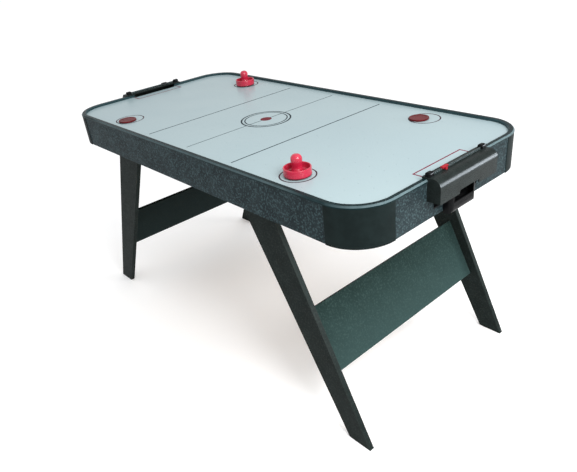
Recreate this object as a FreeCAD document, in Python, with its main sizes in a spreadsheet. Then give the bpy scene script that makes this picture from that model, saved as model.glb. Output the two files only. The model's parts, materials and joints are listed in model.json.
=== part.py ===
import FreeCAD, Part
import math
import os
import re

import Sketcher
from FreeCAD import Placement, Rotation, Vector

# ---------------------------------------------------------------------------
# Sizes, in millimetres. The origin is on the floor under the table's middle,
# X runs along the table and Z is up.
# ---------------------------------------------------------------------------
SIZES = {
    # cabinet outline
    "half_len": 762, "half_wid": 369, "corner_r": 120,
    "rail_top": 764, "rail_wide": 17, "rail_foot": 757, "rail_lip": 2, "rail_edge": 4,
    "apron_low": 652, "apron_thick": 9, "apron_inset": 2,
    # corner mouldings
    "moulding_in": 100, "moulding_seat": 109.5, "moulding_step": 749,
    "corner_inset": 0.5, "corner_low": 651,
    "tab_long": 28, "tab_in": 101, "tab_low": 656, "tab_high": 692,
    # playfield board and the air chamber under it
    "field_top": 755.5, "field_thick": 6, "board_gap": 0.3,
    "hole_r": 1, "hole_pitch": 50, "hole_margin": 22,
    "past": 1,  # how far a cutting shape runs past a face
    "floor_top": 700, "floor_thick": 4, "cleat_wide": 12, "chamber_half": 716,
    "rib_at": 360, "rib_slot": 40, "rib_slot_tall": 22, "rib_sill": 6, "box_room": 6,
    # goals
    "mouth_half": 98, "mouth_back": 736, "mouth_top": 766, "window_low": 672,
    "goal_half": 127, "goal_out": 800, "goal_in": 744, "goal_top": 769, "goal_low": 706,
    "goal_wall": 3, "goal_round": 22,
    "ramp_high": 730, "ramp_low": 709, "arch_half": 44, "arch_top": 716, "arch_round": 6,
    "lug_in": 104, "lug_out": 126, "lug_near": 750, "lug_far": 766, "lug_top": 780,
    "lug_round": 5,
    # puck return tray
    "tray_half": 56, "tray_out": 785, "tray_low": 647, "tray_wall": 3, "tray_lip": 677,
    "tray_round": 11, "chute_half": 97, "chute_back": 716.3, "chute_high": 699,
    "chute_low": 674.5, "chute_side": 2, "chute_skin": 4, "chute_skirt": 12, "chute_gap": 0.5,
    "chute_room": 40, "ridge_tall": 2, "ridge_out": 1, "ridge_drop": 4, "ridge_pitch": 5,
    # score keeper
    "strip_at": 760.5, "strip_thick": 2.4, "strip_half": 103.8, "strip_top": 775,
    "slide_gap": 0.3, "slider_half": 12, "slider_wall": 2.4, "slider_top": 778.6,
    "slider_lip": 771.3, "slider_foot": 769.3, "slider_stem": 3.5, "slider_reach": 7,
    "slider_heel": 773, "slider_rest": 58, "slider_round": 1.6,
    # legs and end panels
    "leg_thick": 16, "leg_top": 696, "foot_in": 670, "foot_out": 750,
    "leg_in": 277, "leg_out": 414,
    "panel_high": 383, "panel_low": 203.5, "panel_thick": 12, "panel_shift": 14,
    "bolt_r": 3, "bolt_head_r": 6.5, "bolt_head": 4, "bolt_deep": 6, "bolt_clear": 0.3,
    "bolt_up": 674, "bolt_in": 318, "bolt_out": 398,
    "bracket_wide": 26, "bracket_tall": 60, "bracket_thick": 2, "bracket_up": 290,
    "screw_in": 15.6, "screw_up": 18, "screw_head_r": 3.8, "screw_head": 2,
    # blower under the air chamber
    "blower_r": 80, "blower_wall": 2.5, "blower_low": 622, "flange_r": 92, "flange": 3,
    "inlet_r": 35, "port_r": 64, "motor_r": 22, "motor_low": 662, "shaft_r": 2.5,
    "shaft_gap": 0.05, "shaft_low": 634, "wheel_r": 56, "wheel_in": 32, "wheel_low": 637,
    "wheel_high": 655, "wheel_plate": 2, "hub_r": 8, "blade_thick": 1.6,
    "bridge_long": 150, "bridge_wide": 14, "bridge_thick": 3,
    "motor_cap": 8, "shaft_end": 10,
    "grille_r": 42, "grille_mid_r": 30.2, "grille_small_r": 18.5, "grille_thick": 2, "grille_bar": 2.2,
    # switch and power inlet in the back apron
    "switch_at": -560, "switch_up": 700, "plate_long": 62, "plate_tall": 34,
    "plate_thick": 1.5, "plate_round": 4, "box_long": 46, "box_tall": 24, "box_deep": 16,
    "box_wall": 1.5,
    "rocker_at": -571, "rocker_wide": 12.4, "rocker_tall": 18.8, "rocker_thick": 4,
    "rocker_gap": 0.3, "rocker_sunk": 1.4, "rocker_waist": 0.8, "rocker_tilt": 8,
    "pivot_r": 1.2, "pivot_fit": 0.05, "cheek_thick": 1.5, "cheek_half": 3, "cheek_deep": 4.5,
    "jack_at": -546, "jack_r": 4, "jack_bore": 2.75, "jack_base": 1.5, "jack_pin": 1,
    "jack_deep": 10, "pin_root": 0.5,
    # loose play pieces
    "puck_r": 31.75, "puck_tall": 5.5, "puck_dish_r": 24, "puck_dish": 0.8, "puck_round": 1.2,
    "float": 0.3,
    "puck_a_x": -448, "puck_a_y": -290, "puck_b_x": 446, "puck_b_y": 262,
    "push_a_x": 460, "push_a_y": -277, "push_b_x": -449, "push_b_y": 264,
    "push_r": 38, "felt_thick": 1.5, "felt_in": 20, "felt_out": 35,
    "push_rim": 25, "push_rim_in": 34.2, "push_floor": 7, "push_floor_r": 32.6,
    "knob_foot": 19, "knob_neck": 12.8, "knob_waist": 25, "knob_r": 15.4, "knob_wide": 41,
    "knob_top": 59, "rim_round": 1.6, "dish_round": 5, "knob_round": 12.5, "waist_round": 16,
    "swell_round": 14,
}
BRIM_SCREWS = 6
BLADES = 14
GRILLE_SPOKES = 3
RIB_SLOTS = 4
RIDGES = 3

# how closely an edge has to match when edges are picked for rounding
SPOT_MATCH = 0.02
SHORTEST_RUN = 0.1
PARALLEL = 0.999

doc = FreeCAD.newDocument("AirHockeyTable")
sheet = doc.addObject("Spreadsheet::Sheet", "Sizes")
for row, (alias, size) in enumerate(SIZES.items(), start=1):
    sheet.set("A%d" % row, alias)
    sheet.set("B%d" % row, str(size))
    sheet.setAlias("B%d" % row, alias)
doc.recompute()

WORD = re.compile(r"\b(%s)\b" % "|".join(sorted(SIZES, key=len, reverse=True)))
nodes = []


def formula(text):
    """Expression text with every size name pointed at the sheet."""
    return WORD.sub(r"Sizes.\1", str(text))


def value(text):
    """Number that an expression text stands for."""
    result = sheet.evalExpression(formula(text).replace("Sizes.", ""))
    return float(getattr(result, "Value", result))


def bind(obj, prop, text):
    obj.setExpression(prop, formula(text))


def place(obj, x="0", y="0", z="0", axis=(0, 0, 1), angle=0):
    """Placement of a part, each coordinate bound to the sheet."""
    obj.Placement = Placement(Vector(value(x), value(y), value(z)), Rotation(Vector(*axis), angle))
    for letter, text in (("x", x), ("y", y), ("z", z)):
        bind(obj, "Placement.Base.%s" % letter, text)
    return obj


def keep(obj, label):
    """Names an object as one of the table's finished pieces."""
    obj.Label = label
    nodes.append(obj)
    return obj


# --- primitives ------------------------------------------------------------

def box(x_span, y_span, z_span):
    """Box between two expressions on each axis."""
    block = doc.addObject("Part::Box", "Block")
    for prop, (low, high) in (("Length", x_span), ("Width", y_span), ("Height", z_span)):
        bind(block, prop, "(%s) - (%s)" % (high, low))
    return place(block, x_span[0], y_span[0], z_span[0])


def rod(radius, tall, x, y, z, axis=(0, 0, 1), angle=0):
    """Cylinder that starts at a point and runs along its turned Z axis."""
    cylinder = doc.addObject("Part::Cylinder", "Rod")
    bind(cylinder, "Radius", radius)
    bind(cylinder, "Height", tall)
    return place(cylinder, x, y, z, axis, angle)


def fuse(parts):
    joined = doc.addObject("Part::MultiFuse", "Joined")
    joined.Shapes = parts
    joined.Refine = True
    return joined


def cut(base, tools):
    """Base less every tool."""
    tool = tools[0]
    if len(tools) > 1:
        tool = doc.addObject("Part::Compound", "Tools")
        tool.Links = tools
    less = doc.addObject("Part::Cut", "Less")
    less.Base = base
    less.Tool = tool
    less.Refine = True
    return less


def group(parts):
    """Separate solids that share one piece name."""
    together = doc.addObject("Part::Compound", "Group")
    together.Links = parts
    return together


def rounded(base, radius, chosen):
    """Fillet on the edges that a test picks."""
    doc.recompute()
    fillet = doc.addObject("Part::Fillet", "Rounded")
    fillet.Base = base
    size = value(radius)
    picked = [i for i, edge in enumerate(base.Shape.Edges, start=1) if chosen(edge)]
    fillet.Edges = [(i, size, size) for i in picked]
    return fillet


def straight_edge(edge, direction, **at):
    """True for a straight edge along a direction whose middle lies at the given coordinates."""
    if len(edge.Vertexes) != 2:
        return False
    run = edge.Vertexes[1].Point - edge.Vertexes[0].Point
    if run.Length < SHORTEST_RUN or abs(run.normalize().dot(Vector(*direction))) < PARALLEL:
        return False
    middle = (edge.Vertexes[1].Point + edge.Vertexes[0].Point) * 0.5
    return all(abs(getattr(middle, letter) - spot) < SPOT_MATCH for letter, spot in at.items())


# --- bodies built from sketches --------------------------------------------

def new_body(name):
    return doc.addObject("PartDesign::Body", name)


def origin_plane(body, role):
    return [f for f in body.Origin.OriginFeatures if f.Role == role][0]


def outline(body, role, points):
    """Closed polygon sketch whose corners are bound to the sheet."""
    sketch = body.newObject("Sketcher::SketchObject", "Outline")
    sketch.AttachmentSupport = (origin_plane(body, role), "")
    sketch.MapMode = "FlatFace"
    spots = [Vector(value(u), value(v), 0) for u, v in points]
    count = len(spots)
    for i in range(count):
        sketch.addGeometry(Part.LineSegment(spots[i], spots[(i + 1) % count]), False)
    for i in range(count):
        sketch.addConstraint(Sketcher.Constraint("Coincident", i, 2, (i + 1) % count, 1))
    for i, (u, v) in enumerate(points):
        for kind, spot, text in (("DistanceX", spots[i].x, u), ("DistanceY", spots[i].y, v)):
            index = sketch.addConstraint(Sketcher.Constraint(kind, -1, 1, i, 1, spot))
            sketch.setExpression("Constraints[%d]" % index, formula(text))
    return sketch


def circles(body, role, spots, radius):
    """Sketch of equal circles with bound centres and radius."""
    sketch = body.newObject("Sketcher::SketchObject", "Circles")
    sketch.AttachmentSupport = (origin_plane(body, role), "")
    sketch.MapMode = "FlatFace"
    for i, (u, v) in enumerate(spots):
        centre = Vector(value(u), value(v), 0)
        sketch.addGeometry(Part.Circle(centre, Vector(0, 0, 1), value(radius)), False)
        facts = (("DistanceX", (-1, 1, i, 3), centre.x, u), ("DistanceY", (-1, 1, i, 3), centre.y, v))
        for kind, where, size, text in facts:
            index = sketch.addConstraint(Sketcher.Constraint(kind, *where, size))
            sketch.setExpression("Constraints[%d]" % index, formula(text))
        index = sketch.addConstraint(Sketcher.Constraint("Radius", i, value(radius)))
        sketch.setExpression("Constraints[%d]" % index, formula(radius))
    return sketch


def pad(body, sketch, length, both_ways=True, backwards=False):
    feature = body.newObject("PartDesign::Pad", "Pad")
    feature.Profile = sketch
    feature.Midplane = both_ways
    feature.Reversed = backwards
    bind(feature, "Length", length)
    return feature


def pocket_through(body, sketch, length):
    """Pocket that cuts both ways from the sketch."""
    feature = body.newObject("PartDesign::Pocket", "Pocket")
    feature.Profile = sketch
    feature.Midplane = True
    bind(feature, "Length", length)
    return feature


def spin(body, sketch, degrees=360, backwards=False):
    feature = body.newObject("PartDesign::Revolution", "Spin")
    feature.Profile = sketch
    feature.ReferenceAxis = (sketch, ["V_Axis"])
    feature.Angle = degrees
    feature.Reversed = backwards
    return feature


def soften(body, feature, radius, chosen):
    """Fillet inside a body on the edges that a test picks."""
    doc.recompute()
    names = ["Edge%d" % i for i, edge in enumerate(feature.Shape.Edges, start=1) if chosen(edge)]
    fillet = body.newObject("PartDesign::Fillet", "Soften")
    fillet.Base = (feature, names)
    bind(fillet, "Radius", radius)
    return fillet


def ring_edge(edge, spots):
    """True for a full circle at one of the (radius, height) spots."""
    curve = edge.Curve
    if not isinstance(curve, Part.Circle):
        return False
    return any(
        abs(curve.Radius - value(radius)) < SPOT_MATCH and abs(curve.Center.z - value(height)) < SPOT_MATCH
        for radius, height in spots
    )


# ---------------------------------------------------------------------------
# Aprons, rails and corner mouldings
# ---------------------------------------------------------------------------
LONG = "(half_len - corner_r)"
SHORT = "(half_wid - corner_r)"
SIDE_OUT = "(half_wid - apron_inset)"
SIDE_IN = "(half_wid - apron_inset - apron_thick)"
END_OUT = "(half_len - apron_inset)"
END_IN = "(half_len - apron_inset - apron_thick)"
LEG_BACK = "(%s - leg_thick)" % SIDE_IN
UP = (0, 0, 1)
ACROSS = (1, 0, 0)
SIDEWAYS = (0, 1, 0)


def minus(span):
    """The same span on the other side of zero."""
    low, high = span
    return ("-(%s)" % high, "-(%s)" % low)


def signed(sign, text):
    return text if sign > 0 else "-(%s)" % text


def top_rim(edge, height):
    """True for a level edge along X or Y at a named height."""
    top = value(height)
    return straight_edge(edge, ACROSS, z=top) or straight_edge(edge, SIDEWAYS, z=top)


BOLT_SPOTS = [(end, across) for end in (1, -1) for across in ("bolt_in", "bolt_out")]


def bolt_holes(side):
    """Blind holes for the leg bolts in a side apron, from its inner face."""
    start = signed(side, SIDE_IN)
    turn = -90 if side > 0 else 90
    return [
        rod("bolt_r + bolt_clear", "bolt_deep + bolt_clear", signed(end, across), start, "bolt_up",
            ACROSS, turn)
        for end, across in BOLT_SPOTS
    ]


def side_apron(side):
    board = box(
        ("-" + LONG, LONG),
        (SIDE_IN, SIDE_OUT) if side > 0 else minus((SIDE_IN, SIDE_OUT)),
        ("apron_low", "rail_foot"),
    )
    return board, bolt_holes(side)


board, holes = side_apron(-1)
keep(cut(board, holes), "side_apron_front")

board, holes = side_apron(1)
switch_window = box(
    ("switch_at - box_long / 2 - board_gap", "switch_at + box_long / 2 + board_gap"),
    (SIDE_IN + " - past", SIDE_OUT + " + past"),
    ("switch_up - box_tall / 2 - board_gap", "switch_up + box_tall / 2 + board_gap"),
)
keep(cut(board, holes + [switch_window]), "side_apron_back")


def end_apron(end, label):
    span = (END_IN, END_OUT) if end > 0 else minus((END_IN, END_OUT))
    wide = (END_IN + " - past", END_OUT + " + past")
    board = box(span, ("-" + SHORT, SHORT), ("apron_low", "rail_foot"))
    window = box(
        wide if end > 0 else minus(wide),
        ("-mouth_half", "mouth_half"),
        ("window_low", "rail_foot + past"),
    )
    keep(cut(board, [window]), label)


end_apron(1, "end_apron_right")
end_apron(-1, "end_apron_left")

RAIL_SECTION = [
    ("-rail_wide", "field_top"),
    ("-rail_wide", "rail_top - rail_lip"),
    ("-rail_wide + rail_lip", "rail_top"),
    ("-rail_edge", "rail_top"),
    ("0", "rail_top - rail_edge"),
    ("0", "rail_foot"),
    ("-(apron_inset + apron_thick)", "rail_foot"),
    ("-(apron_inset + apron_thick)", "field_top"),
]


def rail(label, long, x, y, angle):
    body = new_body(label)
    pad(body, outline(body, "YZ_Plane", RAIL_SECTION), long)
    place(body, x, y, "0", UP, angle)
    keep(body, label)


rail("side_rail_front", "2 * " + LONG, "0", "-half_wid", 180)
rail("side_rail_back", "2 * " + LONG, "0", "half_wid", 0)
STUB = SHORT + " - mouth_half"
STUB_MID = "(%s + mouth_half) / 2" % SHORT
for end, end_name, turn in ((1, "right", -90), (-1, "left", 90)):
    for side, side_name in ((-1, "front"), (1, "back")):
        rail("end_rail_%s_%s" % (end_name, side_name), STUB, signed(end, "half_len"),
             signed(side, STUB_MID), turn)

MOULDING_SECTION = [
    ("moulding_in", "corner_low"),
    ("corner_r - corner_inset", "corner_low"),
    ("corner_r - corner_inset", "rail_foot"),
    ("moulding_seat", "rail_foot"),
    ("moulding_seat", "moulding_step"),
    ("moulding_in", "moulding_step"),
]
CORNER_RAIL_SECTION = [
    ("corner_r - rail_wide", "field_top"),
    ("corner_r - rail_wide", "rail_top - rail_lip"),
    ("corner_r - rail_wide + rail_lip", "rail_top"),
    ("corner_r - rail_edge", "rail_top"),
    ("corner_r", "rail_top - rail_edge"),
    ("corner_r", "rail_foot"),
    ("moulding_seat", "rail_foot"),
    ("moulding_seat", "field_top"),
]
TAB_OUT = "corner_r - apron_inset - apron_thick"


def corner_moulding(label, x, y, angle):
    """Quarter-round corner with two tabs that lie behind the aprons."""
    body = new_body(label)
    spin(body, outline(body, "XZ_Plane", MOULDING_SECTION), 90)
    tab_plan = [
        [("-tab_long", "tab_in"), ("past", "tab_in"), ("past", TAB_OUT), ("-tab_long", TAB_OUT)],
        [("tab_in", "-tab_long"), (TAB_OUT, "-tab_long"), (TAB_OUT, "past"), ("tab_in", "past")],
    ]
    for points in tab_plan:
        sketch = outline(body, "XY_Plane", points)
        bind(sketch, "AttachmentOffset.Base.z", "tab_low")
        pad(body, sketch, "tab_high - tab_low", False)
    place(body, x, y, "0", UP, angle)
    keep(body, label)


def corner_rail(label, x, y, angle):
    """Quarter ring that carries the rail's section round a corner."""
    body = new_body(label)
    spin(body, outline(body, "XZ_Plane", CORNER_RAIL_SECTION), 90)
    place(body, x, y, "0", UP, angle)
    keep(body, label)


CORNERS = [
    ("right_back", LONG, SHORT, 0),
    ("left_back", "-" + LONG, SHORT, 90),
    ("left_front", "-" + LONG, "-" + SHORT, 180),
    ("right_front", LONG, "-" + SHORT, 270),
]
for corner_name, x, y, turn in CORNERS:
    corner_moulding("corner_" + corner_name, x, y, turn)
    corner_rail("corner_rail_" + corner_name, x, y, turn)

# ---------------------------------------------------------------------------
# Playfield board, air chamber and its ribs
# ---------------------------------------------------------------------------


def playfield_shape():
    """Rounded board with goal notches and a grid of air holes."""
    long = value(END_IN + " - board_gap")
    wide = value(SIDE_IN + " - board_gap")
    bend = wide - value(SHORT)
    thick = value("field_thick")
    start = Vector(-long, -wide, value("field_top") - thick)
    board = Part.makeBox(2 * long, 2 * wide, thick, start)
    uprights = [e for e in board.Edges if straight_edge(e, UP)]
    board = board.makeFillet(bend, uprights)
    back, half = value("mouth_back"), value("mouth_half")
    notch = Part.makeBox(long, 2 * half, thick, Vector(back, -half, start.z))
    notches = [notch, notch.mirror(Vector(), Vector(1, 0, 0))]
    pitch, margin = value("hole_pitch"), value("hole_margin")
    columns = int((value("half_len - rail_wide") - margin) / pitch + 0.5)
    rows = int((value("half_wid - rail_wide") - margin) / pitch + 0.5)
    keep_off = value("corner_r") / 2
    drills = []
    for i in range(-columns, columns):
        for j in range(-rows, rows):
            spot = Vector((i + 0.5) * pitch, (j + 0.5) * pitch, start.z)
            if abs(spot.x) > long - keep_off and abs(spot.y) > wide - keep_off:
                continue
            drills.append(Part.makeCylinder(value("hole_r"), thick, spot))
    return board.cut(Part.makeCompound(notches + drills))


playfield = doc.addObject("Part::Feature", "Playfield")
playfield.Shape = playfield_shape()
keep(playfield, "playfield")

CHAMBER_TOP = "field_top - field_thick"
CLEAT_IN = "(%s - cleat_wide)" % SIDE_IN
for side, label in ((-1, "chamber_side_front"), (1, "chamber_side_back")):
    span = (CLEAT_IN, SIDE_IN) if side > 0 else minus((CLEAT_IN, SIDE_IN))
    if side > 0:
        cutout = box(
            ("switch_at - box_long / 2 - past", "switch_at + box_long / 2 + past"),
            (CLEAT_IN + " - past", SIDE_IN + " + past"),
            ("floor_top - past", "switch_up + box_tall / 2 + past"),
        )
        strip = cut(box(("-" + LONG, LONG), span, ("floor_top", CHAMBER_TOP)), [cutout])
    else:
        strip = box(("-" + LONG, LONG), span, ("floor_top", CHAMBER_TOP))
    keep(strip, label)
for end, label in ((1, "chamber_end_right"), (-1, "chamber_end_left")):
    span = ("chamber_half - cleat_wide", "chamber_half")
    strip = box(span if end > 0 else minus(span), ("-" + SHORT, SHORT), ("floor_top", CHAMBER_TOP))
    keep(strip, label)

floor_board = box(
    ("-chamber_half", "chamber_half"),
    ("-" + SIDE_IN, SIDE_IN),
    ("floor_top - floor_thick", "floor_top"),
)
floor_cuts = [rod("port_r", "floor_thick + 2 * past", "0", "0", "floor_top - floor_thick - past")]
for end in (1, -1):
    for side in (1, -1):
        near = (LONG + " - tab_long - 2 * past", "chamber_half + past")
        edge = (SHORT, SIDE_IN + " + past")
        floor_cuts.append(box(
            near if end > 0 else minus(near),
            edge if side > 0 else minus(edge),
            ("floor_top - floor_thick - past", "floor_top + past"),
        ))
floor_cuts.append(box(
    ("switch_at - box_long / 2 - past", "switch_at + box_long / 2 + past"),
    (CLEAT_IN + " - box_room", SIDE_IN + " + past"),
    ("floor_top - floor_thick - past", "floor_top + past"),
))
keep(cut(floor_board, floor_cuts), "chamber_floor")


def rib(label, x):
    """Cross rib with slots that let the air past."""
    board = box(
        ("%s - cleat_wide / 2" % x, "%s + cleat_wide / 2" % x),
        ("-" + CLEAT_IN, CLEAT_IN),
        ("floor_top", CHAMBER_TOP),
    )
    slots = []
    for step in range(1 - RIB_SLOTS, RIB_SLOTS, 2):
        middle = "%d * %s / %d" % (step, CLEAT_IN, RIB_SLOTS)
        slots.append(box(
            ("%s - cleat_wide" % x, "%s + cleat_wide" % x),
            ("%s - rib_slot / 2" % middle, "%s + rib_slot / 2" % middle),
            ("floor_top + rib_sill", "floor_top + rib_sill + rib_slot_tall"),
        ))
    keep(cut(board, slots), label)


rib("rib_left", "-rib_at")
rib("rib_right", "rib_at")

# ---------------------------------------------------------------------------
# Goals. Each piece is built for the right-hand end; the left-hand one is the
# same piece turned half a turn.
# ---------------------------------------------------------------------------


def goal_housing(label, angle):
    """Rounded box over the goal mouth, open below where the puck drops."""
    shell = box((END_OUT, "goal_out"), ("-goal_half", "goal_half"), ("goal_low", "goal_top"))
    top_x, top_z = value("goal_out"), value("goal_top")
    shell = rounded(shell, "goal_round", lambda e: straight_edge(e, SIDEWAYS, x=top_x, z=top_z))
    plate = box(("goal_in", END_OUT + " + 2 * past"), ("-goal_half", "goal_half"), ("rail_top", "goal_top"))
    hollow = box(
        ("goal_in - past", "goal_out - goal_wall"),
        ("-(goal_half - goal_wall)", "goal_half - goal_wall"),
        ("goal_low - past", "mouth_top"),
    )
    in_x, in_z = value("goal_out - goal_wall"), value("mouth_top")
    hollow = rounded(hollow, "goal_round - goal_wall",
                     lambda e: straight_edge(e, SIDEWAYS, x=in_x, z=in_z))
    keep_plate = [
        box(("goal_in - 2 * past", END_OUT), span, ("rail_top", "goal_top"))
        for span in (("mouth_half", "goal_half"), minus(("mouth_half", "goal_half")))
    ]
    hollow = cut(hollow, keep_plate)
    rail_room = [
        box((END_OUT + " - past", "half_len + board_gap"), span, ("rail_foot - past", "rail_top"))
        for span in (("mouth_half", "goal_half + past"), minus(("mouth_half", "goal_half + past")))
    ]
    arch = box(("goal_out - goal_wall - past", "goal_out + past"), ("-arch_half", "arch_half"),
               ("goal_low - past", "arch_top"))
    arch = rounded(arch, "arch_round", lambda e: straight_edge(e, ACROSS, z=value("arch_top")))
    housing = cut(fuse([shell, plate]), [hollow] + rail_room + [arch])
    ramps = []
    for side in (1, -1):
        points = [
            (signed(side, "tray_half"), "goal_low"),
            (signed(side, "goal_half - goal_wall / 2"), "goal_low"),
            (signed(side, "goal_half - goal_wall / 2"), "ramp_high"),
            (signed(side, "tray_half"), "ramp_low"),
        ]
        body = new_body("Ramp")
        pad(body, outline(body, "YZ_Plane", points), "goal_out - goal_wall / 2 - (%s)" % END_OUT)
        ramps.append(place(body, "(%s + goal_out - goal_wall / 2) / 2" % END_OUT))
    lugs = []
    for side in (1, -1):
        span = ("lug_in", "lug_out")
        lug = box(("lug_near", "lug_far"), span if side > 0 else minus(span), ("rail_top", "lug_top"))
        lugs.append(rounded(lug, "lug_round", lambda e: straight_edge(e, UP) or top_rim(e, "lug_top")))
    whole = fuse([housing] + ramps + lugs)
    keep(place(whole, "0", "0", "0", UP, angle), label)


def return_tray(label, angle):
    """Chute that carries the puck through the end apron into an outside pocket."""
    cup = box((END_OUT, "tray_out"), ("-tray_half", "tray_half"), ("tray_low", "goal_low"))
    out, low = value("tray_out"), value("tray_low")
    cup = rounded(cup, "tray_round", lambda e: (
        straight_edge(e, SIDEWAYS, x=out, z=low) or straight_edge(e, UP, x=out)))
    body = new_body("Chute")
    points = [
        ("chute_back", "chute_high"),
        (END_OUT + " + tray_wall", "chute_low"),
        (END_OUT + " + tray_wall", "window_low + board_gap"),
        (END_IN + " - chute_gap", "window_low + board_gap"),
        ("chute_back", "chute_high - chute_skin"),
    ]
    pad(body, outline(body, "XZ_Plane", points), "2 * chute_half")
    beside = ("tray_half", "chute_half + past")
    chute = cut(body, [
        box((END_OUT, "tray_out"), span, ("goal_low - chute_room", "goal_low"))
        for span in (beside, minus(beside))
    ])
    sides = [
        box(("chute_back", END_IN + " - chute_gap"), span, ("chute_high - chute_skirt", CHAMBER_TOP))
        for span in (("chute_half - chute_side", "chute_half"),
                     minus(("chute_half - chute_side", "chute_half")))
    ]
    ridges = []
    for step in range(RIDGES):
        foot = "tray_lip - ridge_drop - %d * ridge_pitch" % step
        ridges.append(box(("tray_out - past", "tray_out + ridge_out"),
                          ("-(tray_half - tray_round)", "tray_half - tray_round"),
                          (foot, foot + " + ridge_tall")))
    hollow = box((END_OUT + " + tray_wall", "tray_out - tray_wall"),
                 ("-(tray_half - tray_wall)", "tray_half - tray_wall"),
                 ("tray_low + tray_wall", "goal_low + past"))
    hatch = box((END_OUT + " - past", END_OUT + " + tray_wall + past"),
                ("-(tray_half - tray_wall)", "tray_half - tray_wall"),
                ("chute_low", "goal_low + past"))
    front = box(("tray_out - tray_wall - past", "tray_out + 2 * past"), ("-arch_half", "arch_half"),
                ("tray_lip", "goal_low + past"))
    whole = cut(fuse([cup, chute] + sides + ridges), [hollow, hatch, front])
    keep(place(whole, "0", "0", "0", UP, angle), label)


def score_strip(label, angle):
    strip = box(("strip_at - strip_thick / 2", "strip_at + strip_thick / 2"),
                ("-strip_half", "strip_half"), ("goal_top", "strip_top"))
    keep(place(group([strip]), "0", "0", "0", UP, angle), label)


def score_slider(label, angle):
    """T-shaped clip that straddles the score strip."""
    gap = "(strip_thick / 2 + slide_gap)"
    inner = ("strip_at - %s - slider_wall" % gap, "strip_at - %s" % gap)
    outer = ("strip_at + %s" % gap, "strip_at + %s + slider_wall" % gap)
    middle = "-slider_rest"
    wide = ("%s - slider_half" % middle, "%s + slider_half" % middle)
    stem = ("%s - slider_stem" % middle, "%s + slider_stem" % middle)
    bar = box((inner[0], outer[1]), wide, ("strip_top + slide_gap", "slider_top"))
    bar = rounded(bar, "slider_round", lambda e: top_rim(e, "slider_top"))
    back = box(inner, wide, ("slider_lip", "strip_top + slide_gap + past"))
    front = box(outer, wide, ("slider_heel", "strip_top + slide_gap + past"))
    toe = box((outer[0], outer[0] + " + slider_reach"), stem, ("slider_foot", "slider_heel + past"))
    keep(place(fuse([bar, back, front, toe]), "0", "0", "0", UP, angle), label)


for end_name, turn in (("right", 0), ("left", 180)):
    goal_housing("goal_housing_%s" % end_name, turn)
    return_tray("return_tray_%s" % end_name, turn)
    score_strip("score_strip_%s" % end_name, turn)
    score_slider("score_slider_%s" % end_name, turn)

# ---------------------------------------------------------------------------
# Legs and end panels
# ---------------------------------------------------------------------------


def leg(label, end, side):
    """Tapered plank that splays towards the table's end."""
    body = new_body(label)
    points = [
        (signed(end, "foot_in"), "0"),
        (signed(end, "foot_out"), "0"),
        (signed(end, "leg_out"), "leg_top"),
        (signed(end, "leg_in"), "leg_top"),
    ]
    pad(body, outline(body, "XZ_Plane", points), "leg_thick")
    spots = [(signed(end, across), "bolt_up") for across in ("bolt_in", "bolt_out")]
    pocket_through(body, circles(body, "XZ_Plane", spots, "bolt_r + bolt_clear"), "leg_thick + 2 * past")
    place(body, "0", signed(side, "%s - leg_thick / 2" % SIDE_IN))
    keep(body, label)


for end, end_name in ((1, "right"), (-1, "left")):
    for side, side_name in ((-1, "front"), (1, "back")):
        leg("leg_%s_%s" % (end_name, side_name), end, side)

LEG_FOOT_MID = "(foot_in + foot_out) / 2"
LEG_TOP_MID = "(leg_in + leg_out) / 2"
SLOPE = "((%s - %s) / leg_top)" % (LEG_FOOT_MID, LEG_TOP_MID)
LEAN = math.degrees(math.atan(value(SLOPE)))
COS_LEAN = "(1 / sqrt(1 + %s * %s))" % (SLOPE, SLOPE)
SIN_LEAN = "(%s * %s)" % (SLOPE, COS_LEAN)


def panel_face(height):
    """X of the panel's outer face at a height."""
    return "(%s - %s * (%s) + panel_shift)" % (LEG_FOOT_MID, SLOPE, height)


def end_panel(label, angle):
    body = new_body(label)
    drop = "panel_thick * " + SIN_LEAN
    shift = "panel_thick * " + COS_LEAN
    points = [
        (panel_face("panel_low"), "panel_low"),
        (panel_face("panel_high"), "panel_high"),
        ("%s - %s" % (panel_face("panel_high"), shift), "panel_high - " + drop),
        ("%s - %s" % (panel_face("panel_low"), shift), "panel_low - " + drop),
    ]
    pad(body, outline(body, "XZ_Plane", points), "2 * " + LEG_BACK)
    place(body, "0", "0", "0", UP, angle)
    keep(body, label)


end_panel("end_panel_right", 0)
end_panel("end_panel_left", 180)

# leg bolts: head, washer and shank in one turned piece
bolts = []
for side in (-1, 1):
    turn = -90 if side > 0 else 90
    for end, across in BOLT_SPOTS:
        at = signed(end, across)
        head = rod("bolt_head_r", "bolt_head", at, signed(side, LEG_BACK + " - bolt_head"), "bolt_up",
                   ACROSS, turn)
        shank = rod("bolt_r", "leg_thick + bolt_deep + past", at, signed(side, LEG_BACK + " - past"),
                    "bolt_up", ACROSS, turn)
        bolts.append(fuse([head, shank]))
keep(group(bolts), "leg_bolts")

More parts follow.
